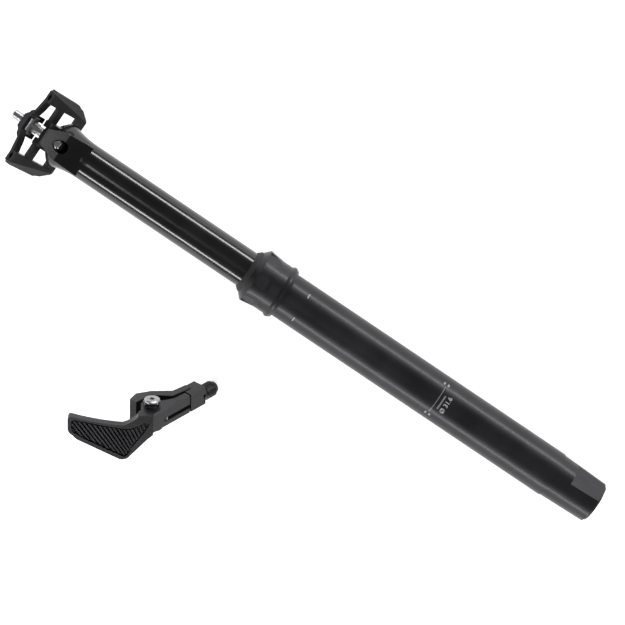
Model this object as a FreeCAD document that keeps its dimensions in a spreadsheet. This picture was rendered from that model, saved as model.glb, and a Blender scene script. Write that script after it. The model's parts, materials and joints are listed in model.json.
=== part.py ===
"""Dropper seatpost with its remote thumb lever.

The post lies along +X, from the base cap towards the saddle clamp. +Z is the front of the
post, where the front clamp bolt shows, and +Y is its left side. The origin is on the post's
axis, in the plane where the collar flange rests on a seat tube. Lengths are in millimetres.
"""
import FreeCAD, Part
import math
import os
import Sketcher

SIZES = {
    # Outer tube and its flange
    "tube_diameter": 31.6,
    "tube_wall": 2.0,
    "tube_length": 213.5,
    "flange_step": 3.0,
    "flange_foot_step": 1.6,
    "flange_land": 1.1,
    "flange_under_bevel": 2.2,
    "flange_top_bevel": 1.8,
    "spigot_step": 0.4,
    "spigot_length": 11.4,
    "bushing_seat_depth": 14.4,
    "bushing_wall": 1.5,
    "keyway_width": 2.6,
    "keyway_depth": 0.8,
    "keyway_top_margin": 12.0,
    # Collar and wiper
    "collar_step": 1.9,
    "collar_waist_length": 6.4,
    "collar_shoulder_step": 3.2,
    "collar_shoulder_height": 17.4,
    "collar_height": 20.9,
    "collar_mouth_drop": 0.5,
    "collar_web_gap": 0.7,
    "collar_web": 2.6,
    "grip_pocket_count": 6,
    "grip_pocket_width": 10.0,
    "grip_pocket_height": 8.6,
    "grip_pocket_depth": 0.55,
    "wiper_drop": 1.1,
    "wiper_flange_step": 0.3,
    "wiper_flange": 0.95,
    "wiper_lip_height": 2.5,
    "seal_clearance": 0.05,
    "oring_section": 1.1,
    "oring_squeeze_room": 0.02,
    # Stanchion and its guides
    "guide_gap": 1.2,
    "post_wall": 1.8,
    "post_travel": 125.0,
    "foot_margin": 1.9,
    "head_margin": 0.25,
    "running_clearance": 0.05,
    "assembly_clearance": 0.1,
    "lower_bushing_rise": 26.0,
    "lower_bushing_length": 16.0,
    "key_rise": 2.5,
    "key_length": 20.0,
    "key_width": 2.4,
    "key_seat_depth": 1.0,
    "key_count": 3,
    # Gas cartridge
    "rod_diameter": 8.0,
    "rod_bore": 3.16,
    "cylinder_gap": 0.8,
    "cylinder_wall": 2.0,
    "cylinder_head_gap": 8.1,
    "cylinder_cap": 6.0,
    "ring_groove": 1.3,
    "gland_length": 12.0,
    "piston_gap": 3.8,
    "piston_length": 11.0,
    "rod_neck_diameter": 5.0,
    "float_piston_gap": 11.75,
    "float_piston_length": 12.0,
    "float_piston_ratio": 0.25,
    "valve_pin_diameter": 3.0,
    # Base cap with the cable-pull rocker
    "base_step": 0.5,
    "base_taper": 0.9,
    "base_length": 34.5,
    "base_spigot_length": 7.0,
    "base_bridge": 8.5,
    "base_floor": 6.0,
    "base_rounding": 1.4,
    "base_flat_step": 2.9,
    "base_flat_length": 23.2,
    "base_clock_angle": 135.0,
    "base_slot_width": 13.0,
    "base_slot_back": 5.0,
    "rod_nut_flats": 13.0,
    "rod_nut_height": 4.6,
    "rocker_pivot_drop": 9.0,
    "rocker_pivot_offset": 3.5,
    "rocker_pin_diameter": 3.0,
    "rocker_pin_length": 21.0,
    "rocker_hub_radius": 3.4,
    "rocker_thickness": 5.6,
    "rocker_arm_thickness": 3.4,
    "cable_offset": 8.6,
    "cable_anchor_diameter": 4.5,
    "cable_anchor_length": 7.2,
    "cable_hole": 1.8,
    "cable_stop_diameter": 7.2,
    "cable_stop_bore": 5.2,
    "cable_stop_depth": 4.8,
    "spring_wire": 0.8,
    "spring_leg": 7.0,
    # Saddle clamp: pivot, lower cradle and yoke
    "pivot_rise": 32.2,
    "tilt_angle": 47.0,
    "cradle_radius": 10.5,
    "cradle_clearance": 0.3,
    "cradle_half_width": 9.0,
    "rail_pitch": 45.0,
    "rail_diameter": 7.0,
    "rail_groove_depth": 1.4,
    "yoke_groove_depth": 0.7,
    "jaw_length": 38.0,
    "jaw_inner": 18.7,
    "jaw_outer": 28.2,
    "jaw_tail_outer": 21.0,
    "jaw_tail_start": 7.0,
    "jaw_bottom": -6.5,
    "jaw_top": -3.4,
    "jaw_gap": 0.3,
    "wing_top": -0.6,
    "arm_front": 8.0,
    "arm_back": 3.0,
    "arm_top": -2.5,
    "rear_bar_depth": 4.5,
    "front_bar_depth": 5.5,
    "yoke_arch": 2.3,
    "yoke_crown": 7.1,
    "yoke_boss_half_width": 8.0,
    "yoke_boss_back": 5.5,
    "yoke_boss_floor": 2.0,
    # Front bolt and its nut
    "tilt_seat_drop": 7.0,
    "tilt_seat_z": 10.5,
    "tilt_nut_up": 6.5,
    "tilt_nut_out": 11.5,
    "bolt_diameter": 6.0,
    "bolt_length": 33.5,
    "bolt_head_diameter": 11.0,
    "bolt_head_height": 5.6,
    "bolt_socket_flats": 5.0,
    "bolt_socket_depth": 3.2,
    "ball_washer_radius": 5.6,
    "nut_diameter": 10.0,
    "nut_length": 12.0,
    "nut_sleeve_diameter": 8.0,
    "nut_sleeve_length": 5.6,
    "nut_thread_clearance": 0.25,
    "bolt_pocket_radius": 6.3,
    "bolt_reach": 18.0,
    "sleeve_reach": 7.8,
    "bolt_swing_angle": 18.8,
    # Rear screw
    "screw_diameter": 4.0,
    "screw_head_diameter": 7.0,
    "screw_head_height": 3.2,
    "screw_socket_flats": 2.5,
    # Head of the post
    "head_mid_rise": 11.2,
    "head_shoulder_rise": 17.7,
    "head_neck_rise": 22.2,
    "head_top_rise": 30.2,
    "head_mid_step": 1.1,
    "head_shoulder_step": 2.8,
    "head_neck_step": 2.2,
    "head_top_drop": 2.3,
    "head_flat_step": 0.1,
    "head_flare": 58.0,
    "ear_foot_rise": 1.7,
    "ear_full_rise": 13.2,
    "ear_top_rise": 35.4,
    "ear_step": 4.3,
    "ear_foot_drop": 1.8,
    "ear_mid_drop": 3.0,
    "ear_top_half_width": 5.2,
    "rear_relief_inner": 12.9,
    "rear_relief_outer": 20.8,
    "rear_relief_z": 4.7,
    # Remote: its place beside the post
    "remote_x": 27.0,
    "remote_y": 114.0,
    "remote_z": 17.6,
    "remote_turn": 213.9,
    "remote_lean": 22.0,
    # Remote: arm and paddle of the thumb lever
    "arm_angle": 47.0,
    "arm_low": -2.5,
    "arm_high": 10.5,
    "arm_front_out": 9.7,
    "arm_end": 26.0,
    "arm_wall": 4.5,
    "arm_bevel": 1.6,
    "hub_radius": 7.2,
    "paddle_front": 13.4,
    "paddle_thickness": 5.0,
    "paddle_reach": 54.6,
    "panel_depth": 1.7,
    "rim_width": 2.2,
    "rib_gap": 0.4,
    "rib_count": 18,
    "rib_width": 1.15,
    "rib_height": 1.25,
    "rib_start": -50.5,
    "rib_pitch": 2.75,
    "rib_slant": 35.0,
    "cable_slot_width": 2.8,
    "cable_slot_depth": 3.4,
    "cable_slot_start": 3.0,
    "cable_height": 2.2,
    "cable_clamp_diameter": 3.4,
    # Remote: pivot
    "bush_radius": 3.4,
    "bush_rise": 1.9,
    "well_radius": 4.7,
    "well_depth": 2.6,
    "spring_well_radius": 5.8,
    "spring_well_depth": 4.4,
    "lever_spring_wire": 0.9,
    "pivot_bolt_diameter": 5.0,
    "pivot_head_radius": 5.1,
    "pivot_head_height": 1.5,
    "pivot_socket_flats": 3.0,
    "pivot_washer_radius": 5.6,
    "pivot_washer_height": 1.5,
    # Remote: bracket
    "block_gap": 1.2,
    "block_length": 14.0,
    "block_depth": 10.4,
    "plate_gap": 0.4,
    "plate_thickness": 2.6,
    "boss_radius": 5.0,
    "boss_reach": 20.0,
    "boss_offset": 7.0,
    "boss_height": 1.5,
    "mount_screw_diameter": 5.0,
    "mount_depth": 8.0,
    # Remote: barrel adjuster
    "barrel_radius": 5.3,
    "barrel_length": 11.0,
    "barrel_out": 4.5,
    "barrel_spigot": 6.0,
    "barrel_thread_length": 8.0,
    "lock_ring_length": 2.6,
    "knurl_count": 24,
    "knurl_depth": 0.5,
    "housing_socket": 5.2,
    "housing_depth": 7.0,
}

# Radii and places along the post that follow from the sizes above
PLACES = {
    "tube_radius": "tube_diameter / 2",
    "tube_bore": "tube_diameter - 2 * tube_wall",
    "post_diameter": "tube_bore - 2 * guide_gap",
    "post_radius": "post_diameter / 2",
    "bushing_outer": "post_radius + running_clearance + bushing_wall",
    "flange_radius": "tube_radius + flange_step",
    "flange_foot_radius": "tube_radius + flange_foot_step",
    "spigot_radius": "tube_radius + spigot_step",
    "collar_radius": "tube_radius + collar_step",
    "collar_shoulder_radius": "tube_radius + collar_shoulder_step",
    "collar_mouth_radius": "tube_radius - collar_mouth_drop",
    "collar_web_radius": "post_radius + collar_web_gap",
    "wiper_radius": "tube_radius - wiper_drop",
    "wiper_flange_radius": "wiper_radius + wiper_flange_step",
    "cylinder_diameter": "post_diameter - 2 * post_wall - 2 * cylinder_gap",
    "cylinder_bore": "cylinder_diameter - 2 * cylinder_wall",
    "base_top_radius": "tube_radius - base_step",
    "base_foot_radius": "base_top_radius - base_taper",
    "base_flat_distance": "base_top_radius - base_flat_step",
    "head_mid_width": "post_radius + head_mid_step",
    "head_shoulder_width": "post_radius + head_shoulder_step",
    "head_neck_width": "post_radius + head_neck_step",
    "head_top_width": "post_radius - head_top_drop",
    "head_depth": "post_radius + head_flat_step",
    "ear_front": "post_radius + ear_step",
    "ear_foot_half_width": "post_radius - ear_foot_drop",
    "ear_mid_half_width": "post_radius - ear_mid_drop",
    "rear_bar_inner": "jaw_length / 2 - rear_bar_depth",
    "front_bar_inner": "jaw_length / 2 - front_bar_depth",
    "collar_seat_x": "flange_under_bevel + flange_land + flange_top_bevel",
    "wiper_foot_x": "collar_seat_x + spigot_length + 2 * assembly_clearance + collar_web",
    "wiper_rim_x": "collar_seat_x + collar_height + assembly_clearance",
    "wiper_top_x": "wiper_rim_x + wiper_flange + wiper_lip_height",
    "rod_nut_x": "base_spigot_length - tube_length",
    "post_foot_x": "rod_nut_x + rod_nut_height + foot_margin + post_travel",
    "lower_bushing_x": "post_foot_x + lower_bushing_rise",
    "key_x": "post_foot_x + key_rise",
    "cylinder_foot_x": "post_foot_x + 2 * ring_groove + assembly_clearance",
    "piston_x": "cylinder_foot_x + gland_length + piston_gap",
    "float_piston_x": "piston_x + piston_length + (1 - float_piston_ratio) * post_travel"
                      " + float_piston_gap",
    "head_start_x": "wiper_top_x + post_travel + head_margin",
    "cylinder_top_x": "head_start_x - cylinder_head_gap",
    "head_mid_x": "head_start_x + head_mid_rise",
    "head_shoulder_x": "head_start_x + head_shoulder_rise",
    "head_neck_x": "head_start_x + head_neck_rise",
    "head_top_x": "head_start_x + head_top_rise",
    "ear_foot_x": "head_start_x + ear_foot_rise",
    "ear_full_x": "head_start_x + ear_full_rise",
    "ear_top_x": "head_start_x + ear_top_rise",
    "pivot_x": "head_start_x + pivot_rise",
    "rod_foot_x": "-tube_length - base_bridge",
    "rocker_pivot_x": "rod_foot_x - rocker_pivot_drop",
}


class Measure:
    """A length together with the formula that gives it from the sheet."""

    def __init__(self, value, text):
        self.value = value
        self.text = text

    def __add__(self, other):
        other = as_measure(other)
        return Measure(self.value + other.value, "(%s + %s)" % (self.text, other.text))

    def __radd__(self, other):
        return as_measure(other) + self

    def __sub__(self, other):
        other = as_measure(other)
        return Measure(self.value - other.value, "(%s - %s)" % (self.text, other.text))

    def __rsub__(self, other):
        return as_measure(other) - self

    def __mul__(self, other):
        other = as_measure(other)
        return Measure(self.value * other.value, "(%s * %s)" % (self.text, other.text))

    def __rmul__(self, other):
        return as_measure(other) * self

    def __truediv__(self, other):
        other = as_measure(other)
        return Measure(self.value / other.value, "(%s / %s)" % (self.text, other.text))

    def __rtruediv__(self, other):
        return as_measure(other) / self

    def __neg__(self):
        return Measure(-self.value, "(0 - %s)" % self.text)


def as_measure(value):
    if isinstance(value, Measure):
        return value
    return Measure(float(value), repr(float(value)))


def sine(angle):
    return Measure(math.sin(math.radians(angle.value)), "sin(%s)" % angle.text)


def cosine(angle):
    return Measure(math.cos(math.radians(angle.value)), "cos(%s)" % angle.text)


def root(square):
    return Measure(math.sqrt(square.value), "sqrt(%s)" % square.text)


def slope_angle(rise, run):
    angle = math.degrees(math.atan2(rise.value, run.value))
    return Measure(angle, "(atan2(%s; %s) / 1 deg)" % (rise.text, run.text))


class Sizes:
    """The named sizes, one attribute for each cell of the sheet."""


def fill_sheet(doc):
    sheet = doc.addObject("Spreadsheet::Sheet", "Sizes")
    cells = [(name, str(value)) for name, value in SIZES.items()]
    cells += [(name, "=" + formula) for name, formula in PLACES.items()]
    for row, (name, content) in enumerate(cells, start=1):
        sheet.set("A%d" % row, name)
        sheet.set("B%d" % row, content)
        sheet.setAlias("B%d" % row, name)
    doc.recompute()
    size = Sizes()
    for name, content in cells:
        setattr(size, name, Measure(float(getattr(sheet, name)), "Sizes." + name))
    return size


# Frames: where a group of pieces is drawn before it is put in its place

class Frame:
    """A place and a turn about one axis, both driven by the sheet."""

    def __init__(self, x=0, y=0, z=0, axis=(0, 1, 0), angle=0):
        self.place = [as_measure(x), as_measure(y), as_measure(z)]
        self.axis = FreeCAD.Vector(*axis)
        self.angle = as_measure(angle)

    def apply(self, piece):
        start = FreeCAD.Vector(*[measure.value for measure in self.place])
        turn = FreeCAD.Rotation(self.axis, self.angle.value)
        piece.Placement = FreeCAD.Placement(start, turn)
        for letter, measure in zip("xyz", self.place):
            piece.setExpression("Placement.Base." + letter, measure.text)
        if self.angle.value:
            piece.setExpression("Placement.Rotation.Angle", self.angle.text)


HOME = Frame()
PLANES = {
    # plane name: origin-plane role, then the turn that carries a free sketch there
    "XY": ("XY_Plane", FreeCAD.Rotation()),
    "XZ": ("XZ_Plane", FreeCAD.Rotation(FreeCAD.Vector(1, 0, 0), 90)),
    "YZ": ("YZ_Plane", FreeCAD.Rotation(FreeCAD.Vector(1, 1, 1), 120)),
}
NORMALS = {"XY": "z", "XZ": "y", "YZ": "x"}


def draw(sketch, points):
    """Draw a closed outline of (across, up) or (across, up, radius) corners.

    A radius makes the run that arrives at the corner an arc: positive bulges to the right
    of the way it is drawn, negative to the left.
    """
    runs = []
    count = len(points)
    for index in range(count):
        start = [as_measure(part) for part in points[index][:2]]
        corner = points[(index + 1) % count]
        end = [as_measure(part) for part in corner[:2]]
        a = FreeCAD.Vector(start[0].value, start[1].value, 0)
        b = FreeCAD.Vector(end[0].value, end[1].value, 0)
        if len(corner) == 2:
            number = sketch.addGeometry(Part.LineSegment(a, b))
            runs.append((number, 1, 2))
            continue
        radius = as_measure(corner[2])
        chord = b - a
        side = FreeCAD.Vector(chord.y, -chord.x, 0).normalize()
        if radius.value < 0:
            side = side * -1
        reach = abs(radius.value)
        half = chord.Length / 2
        rise = reach - math.sqrt(max(reach * reach - half * half, 0.0))
        middle = (a + b) * 0.5 + side * rise
        if radius.value > 0:
            number = sketch.addGeometry(Part.ArcOfCircle(a, middle, b))
            runs.append((number, 1, 2))
        else:
            number = sketch.addGeometry(Part.ArcOfCircle(b, middle, a))
            runs.append((number, 2, 1))
        tag = sketch.addConstraint(Sketcher.Constraint("Radius", number, reach))
        text = radius.text if radius.value > 0 else (-radius).text
        sketch.setExpression("Constraints[%d]" % tag, text)
    for index, (number, first, last) in enumerate(runs):
        following = runs[(index + 1) % count]
        joint = Sketcher.Constraint("Coincident", number, last, following[0], following[1])
        sketch.addConstraint(joint)
    for index, (number, first, last) in enumerate(runs):
        for kind, part in zip(("DistanceX", "DistanceY"), points[index][:2]):
            measure = as_measure(part)
            hold = Sketcher.Constraint(kind, -1, 1, number, first, measure.value)
            tag = sketch.addConstraint(hold)
            if "Sizes" in measure.text:
                sketch.setExpression("Constraints[%d]" % tag, measure.text)


def body_sketch(body, plane, points):
    role = PLANES[plane][0]
    support = [item for item in body.Origin.OriginFeatures if item.Role == role][0]
    sketch = body.newObject("Sketcher::SketchObject", body.Name + "_outline")
    sketch.AttachmentSupport = [(support, "")]
    sketch.MapMode = "FlatFace"
    draw(sketch, points)
    return sketch


def turned(doc, label, points, frame=HOME):
    """A body turned about X from an (along, radius) outline."""
    body = doc.addObject("PartDesign::Body", label)
    body.Label = label
    sketch = body_sketch(body, "XZ", points)
    turn = body.newObject("PartDesign::Revolution", label + "_turn")
    turn.Profile = sketch
    turn.ReferenceAxis = (sketch, ["H_Axis"])
    turn.Angle = 360
    frame.apply(body)
    doc.recompute()
    return body


def slab(doc, name, plane, points, low, high):
    """An outline on a plane, given its thickness from low to high along the normal."""
    low = as_measure(low)
    high = as_measure(high)
    sketch = doc.addObject("Sketcher::SketchObject", name + "_outline")
    sketch.Placement = FreeCAD.Placement(FreeCAD.Vector(), PLANES[plane][1])
    draw(sketch, points)
    solid = doc.addObject("Part::Extrusion", name)
    solid.Base = sketch
    solid.DirMode = "Custom"
    solid.Dir = FreeCAD.Vector(*[float(letter == NORMALS[plane]) for letter in "xyz"])
    solid.Solid = True
    solid.setExpression("LengthFwd", (high - low).text)
    solid.LengthFwd = (high - low).value
    shift = {NORMALS[plane]: low}
    Frame(**shift).apply(solid)
    return solid


def box(doc, name, x_range, y_range, z_range):
    solid = doc.addObject("Part::Box", name)
    place = {}
    for letter, side, span in zip("xyz", ("Length", "Width", "Height"), (x_range, y_range, z_range)):
        low = as_measure(span[0])
        extent = as_measure(span[1]) - low
        solid.setExpression(side, extent.text)
        place[letter] = low
    Frame(**place).apply(solid)
    return solid


AXIS_TURNS = {
    "x": FreeCAD.Rotation(FreeCAD.Vector(0, 1, 0), 90),
    "y": FreeCAD.Rotation(FreeCAD.Vector(1, 0, 0), -90),
    "z": FreeCAD.Rotation(),
}


def rod(doc, name, axis, radius, low, high, x=0, y=0, z=0):
    """A round bar along one axis, from low to high."""
    solid = doc.addObject("Part::Cylinder", name)
    solid.setExpression("Radius", as_measure(radius).text)
    solid.setExpression("Height", (as_measure(high) - low).text)
    place = {"x": as_measure(x), "y": as_measure(y), "z": as_measure(z)}
    place[axis] = place[axis] + low
    solid.Placement = FreeCAD.Placement(FreeCAD.Vector(), AXIS_TURNS[axis])
    for letter, measure in place.items():
        solid.setExpression("Placement.Base." + letter, measure.text)
    return solid


def ball(doc, name, radius, x=0, y=0, z=0):
    solid = doc.addObject("Part::Sphere", name)
    solid.setExpression("Radius", as_measure(radius).text)
    Frame(x=x, y=y, z=z).apply(solid)
    return solid


def group(doc, kind, name, shapes):
    result = doc.addObject(kind, name)
    result.Shapes = shapes
    return result


def fused(doc, name, shapes):
    return group(doc, "Part::MultiFuse", name, shapes)


def shared(doc, name, shapes):
    return group(doc, "Part::MultiCommon", name, shapes)


def cut(doc, name, base, tools):
    result = doc.addObject("Part::Cut", name)
    result.Base = base
    if len(tools) == 1:
        result.Tool = tools[0]
    else:
        result.Tool = fused(doc, name + "_tools", tools)
    return result


def cut_in_turn(doc, name, base, tools):
    """Cut one tool after another, for tools that overlap at shallow angles."""
    for index, tool in enumerate(tools):
        base = cut(doc, "%s_cut_%d" % (name, index), base, [tool])
    return base


def compound(doc, name, shapes):
    result = doc.addObject("Part::Compound", name)
    result.Links = shapes
    return result


def hexagon(flats, turn=0):
    """The six corners of a hexagon of the given width across flats."""
    corners = []
    for index in range(6):
        angle = math.radians(60 * index + 30 + turn)
        reach = flats / (2 * math.cos(math.radians(30)))
        corners.append((reach * math.cos(angle), reach * math.sin(angle)))
    return corners


# Outer tube, collar and guides

def outer_tube(doc, s):
    tube = s.tube_radius
    bore = s.tube_bore / 2
    seat = s.bushing_outer
    land = s.flange_under_bevel + s.flange_land
    face = s.collar_seat_x
    groove = face + s.spigot_length - 3 * s.oring_section
    body = turned(doc, "outer_tube_blank", [
        (-s.tube_length, bore),
        (-s.tube_length, tube),
        (0, tube),
        (0, s.flange_foot_radius),
        (s.flange_under_bevel, s.flange_radius),
        (land, s.flange_radius),
        (face, s.collar_radius),
        (face, s.spigot_radius),
        (groove, s.spigot_radius),
        (groove, s.spigot_radius - s.oring_section),
        (groove + 1.4 * s.oring_section, s.spigot_radius - s.oring_section),
        (groove + 1.4 * s.oring_section, s.spigot_radius),
        (face + s.spigot_length, s.spigot_radius),
        (face + s.spigot_length, seat),
        (face + s.spigot_length - s.bushing_seat_depth, seat),
        (face + s.spigot_length - s.bushing_seat_depth, bore),
    ])
    floor = bore + s.keyway_depth
    keyway = box(doc, "keyway", (-s.tube_length - 1, -s.keyway_top_margin),
                 (-s.keyway_width / 2, s.keyway_width / 2), (bore - 1, floor))
    ways = ring_of(doc, keyway, s.key_count)
    return finish(cut(doc, "outer_tube_solid", body, ways), "outer_tube")


def ring_of(doc, solid, count):
    """Copies of a solid, evenly turned about X."""
    copies = []
    for index in range(int(count.value)):
        copy = doc.addObject("Part::Compound", "%s_%d" % (solid.Name, index))
        copy.Links = [solid]
        Frame(axis=(1, 0, 0), angle=360 * index / count).apply(copy)
        copies.append(copy)
    return copies


def finish(solid, label, frame=None):
    solid.Label = label
    if frame:
        frame.apply(solid)
    return solid


def top_collar(doc, s):
    seat = s.collar_seat_x
    top = seat + s.collar_height
    web = seat + s.spigot_length + s.assembly_clearance
    bore = s.spigot_radius + s.assembly_clearance
    cup = s.wiper_radius + s.seal_clearance
    body = turned(doc, "top_collar_blank", [
        (seat, bore),
        (seat, s.collar_radius),
        (seat + s.collar_waist_length, s.collar_radius),
        (seat + s.collar_shoulder_height - 0.8, s.collar_shoulder_radius),
        (seat + s.collar_shoulder_height, s.collar_shoulder_radius, -1.2),
        (top, s.collar_mouth_radius),
        (top, cup),
        (web + s.collar_web, cup),
        (web + s.collar_web, s.collar_web_radius),
        (web, s.collar_web_radius),
        (web, bore),
    ])
    low = seat + s.collar_waist_length + 2.4
    mid = s.collar_shoulder_radius - s.grip_pocket_depth
    pocket = box(doc, "grip_pocket", (low, low + s.grip_pocket_height),
                 (-s.grip_pocket_width / 2, s.grip_pocket_width / 2), (mid - 0.8, mid + 6))
    pockets = ring_of(doc, pocket, s.grip_pocket_count)
    return finish(cut(doc, "top_collar_solid", body, pockets), "top_collar")


def wiper_seal(doc, s):
    foot = s.wiper_foot_x
    top = s.wiper_rim_x
    lip = s.post_radius + s.seal_clearance
    return turned(doc, "wiper_seal", [
        (foot, lip + 0.3),
        (foot, s.wiper_radius),
        (top, s.wiper_radius),
        (top, s.wiper_flange_radius),
        (top + s.wiper_flange, s.wiper_flange_radius),
        (s.wiper_top_x, lip + 0.15),
        (s.wiper_top_x, lip),
        (top + s.wiper_flange, lip),
        (top - 0.6, lip + 0.5),
        (foot + 1.6, lip + 0.5),
        (foot + 0.9, lip),
        (foot + 0.4, lip),
    ])


def collar_oring(doc, s):
    groove = s.collar_seat_x + s.spigot_length - 3 * s.oring_section
    floor = s.spigot_radius - s.oring_section
    return oring(doc, s, "collar_oring", groove + 0.7 * s.oring_section, floor)


def oring(doc, s, label, x, floor):
    """A round ring lying on the floor of its groove."""
    section = s.oring_section / 2
    ring = doc.addObject("Part::Torus", label)
    ring.setExpression("Radius2", section.text)
    ring.setExpression("Radius1", (floor + s.oring_squeeze_room + section).text)
    Frame(x=x, axis=(0, 1, 0), angle=90).apply(ring)
    return finish(ring, label)


def upper_bushing(doc, s):
    top = s.collar_seat_x + s.spigot_length - 2 * s.assembly_clearance
    foot = top - s.bushing_seat_depth + 4 * s.assembly_clearance
    return bushing(doc, s, "upper_bushing", foot, top, s.post_radius + s.running_clearance,
                   s.bushing_outer - s.seal_clearance)


def bushing(doc, s, label, foot, top, inner, outer):
    """A plain guide ring with a slit, so that it can be sprung into its seat."""
    body = turned(doc, label + "_ring", [
        (foot, inner), (foot, outer - 0.3), (foot + 0.3, outer),
        (top - 0.3, outer), (top, outer - 0.3), (top, inner),
    ])
    slit = box(doc, label + "_slit", (foot - 1, top + 1), (-0.4, 0.4), (-outer - 1, 0))
    return finish(cut(doc, label, body, [slit]), label)


# Stanchion, keys and clamp head

def inner_post(doc, s):
    radius = s.post_radius
    inner = radius - s.post_wall
    depth = s.cylinder_top_x + s.cradle_clearance
    groove = s.post_foot_x + s.ring_groove
    tube = turned(doc, "stanchion", [
        (s.post_foot_x, inner), (s.post_foot_x, radius - 0.6), (s.post_foot_x + 0.6, radius),
        (s.head_start_x, radius), (s.head_mid_x, s.head_mid_width, s.head_flare),
        (s.head_shoulder_x - 0.8, s.head_shoulder_width - 0.05, s.head_flare / 2),
        (s.head_neck_x, s.head_neck_width, -9),
        (s.head_top_x, s.head_top_width, -32), (s.head_top_x, 0), (depth, 0), (depth, inner),
        (groove + s.ring_groove, inner), (groove + s.ring_groove, inner + 0.6),
        (groove, inner + 0.6), (groove, inner),
    ])
    flats = box(doc, "head_flats", (s.post_foot_x - 1, s.head_top_x + 1), (-30, 30),
                (-s.head_depth, s.head_depth))
    trimmed = shared(doc, "trimmed_post", [tube, flats])
    ear = shared(doc, "ear_solid", [
        slab(doc, "ear_face", "XY", ear_front_outline(s), 0, s.ear_front + 1),
        slab(doc, "ear_side", "XZ", ear_side_outline(s), -20, 20),
    ])
    solid = fused(doc, "post_blank", [trimmed, ear])
    pivot = s.pivot_x
    seat = s.cradle_radius + s.cradle_clearance
    cuts = [rod(doc, "cradle_seat", "y", seat, -30, 30, x=pivot)]
    relief = shared(doc, "rear_relief", [
        cut(doc, "rear_ring", rod(doc, "relief_outer", "y", s.rear_relief_outer, -30, 30, x=pivot),
            [rod(doc, "relief_inner", "y", s.rear_relief_inner, -31, 31, x=pivot)]),
        box(doc, "relief_space", (pivot - 30, pivot + 5), (-30, 30), (-30, -s.rear_relief_z)),
    ])
    cuts.append(relief)
    cuts += tilt_rooms(doc, s)
    drop = s.key_seat_depth
    slot = box(doc, "key_slot", (s.key_x - 0.1, s.key_x + s.key_length + 0.1),
               (-s.key_width / 2 - 0.1, s.key_width / 2 + 0.1), (radius - drop - 0.1, radius + 1))
    cuts += ring_of(doc, slot, s.key_count)
    return finish(cut_in_turn(doc, "inner_post", solid, cuts), "inner_post")


def loft(doc, name, sections):
    """A straight-sided loft between two outlines."""
    solid = doc.addObject("Part::Loft", name)
    solid.Sections = sections
    solid.Solid = True
    solid.Ruled = True
    return solid


def ear_front_outline(s):
    tip = s.ear_top_x
    wide = s.ear_foot_half_width
    middle = s.ear_mid_half_width
    top = s.ear_top_half_width
    shoulder = s.ear_top_x - 1.8
    return [
        (s.ear_foot_x, -wide), (s.head_neck_x, -middle), (shoulder, -top),
        (tip, -top + 2.4, 2.6), (tip, top - 2.4), (shoulder, top, 2.6),
        (s.head_neck_x, middle), (s.ear_foot_x, wide),
    ]


def ear_side_outline(s):
    return [
        (s.ear_foot_x, 0), (s.ear_foot_x, s.post_radius - 0.4),
        (s.ear_full_x, s.ear_front - 1.2, 30), (s.ear_full_x + 6, s.ear_front, 30),
        (s.ear_top_x - 3, s.ear_front), (s.ear_top_x, s.ear_front - 2.2, 4),
        (s.ear_top_x, 0),
    ]


def tilt_seat(s):
    """Where the front bolt's ball washer turns, along and up."""
    return s.pivot_x - s.tilt_seat_drop, s.tilt_seat_z


def in_clamp(s, up, out):
    """A point of the clamp at its tilt, along and up."""
    x = s.pivot_x + up * cosine(s.tilt_angle) + out * sine(s.tilt_angle)
    z = out * cosine(s.tilt_angle) - up * sine(s.tilt_angle)
    return x, z


def bolt_lean(s):
    """How far the front bolt leans back from the post's axis."""
    seat_x, seat_z = tilt_seat(s)
    nut_x, nut_z = in_clamp(s, s.tilt_nut_up, s.tilt_nut_out)
    return slope_angle(seat_z - nut_z, nut_x - seat_x)


def tilt_rooms(doc, s):
    """Room for the bolt's head, ball washer, shank and nut sleeve, over the whole swing."""
    seat_x, seat_z = tilt_seat(s)
    washer = s.ball_washer_radius + s.cradle_clearance
    head = s.bolt_pocket_radius
    shank = s.bolt_diameter / 2 + 0.45
    sleeve = s.nut_sleeve_diameter / 2 + s.cradle_clearance
    reach = s.bolt_reach
    rooms = [ball(doc, "washer_room", washer, x=seat_x, z=seat_z)]
    steps = 5
    for step in range(steps):
        lean = bolt_lean(s) - s.bolt_swing_angle * step / (steps - 1)
        ways = [rod(doc, "shank_room_%d" % step, "x", shank, 0, reach)]
        if step > 2:
            ways.append(rod(doc, "sleeve_room_%d" % step, "x", sleeve, s.sleeve_reach, reach))
        if step % 2 == 0:
            ways.append(rod(doc, "head_room_%d" % step, "x", head, -s.bolt_head_height + 0.4, 0))
            ways.append(ball(doc, "head_end_%d" % step, head, x=-s.bolt_head_height + 0.4))
        for way in ways:
            swung = compound(doc, way.Name + "_swung", [way])
            Frame(x=seat_x, z=seat_z, angle=lean).apply(swung)
            rooms.append(swung)
    return rooms


def lower_bushing(doc, s):
    radius = s.post_radius
    return bushing(doc, s, "lower_bushing", s.lower_bushing_x,
                   s.lower_bushing_x + s.lower_bushing_length,
                   radius + 0.02, s.tube_bore / 2 - s.running_clearance)


def guide_keys(doc, s):
    radius = s.post_radius
    top = s.tube_bore / 2 + s.keyway_depth - s.assembly_clearance
    key = box(doc, "guide_key", (s.key_x, s.key_x + s.key_length),
              (-s.key_width / 2, s.key_width / 2), (radius - s.key_seat_depth, top))
    return finish(compound(doc, "guide_keys", ring_of(doc, key, s.key_count)), "guide_keys")


# Gas cartridge: the rod stays with the outer tube, the cylinder rides in the stanchion

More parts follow.
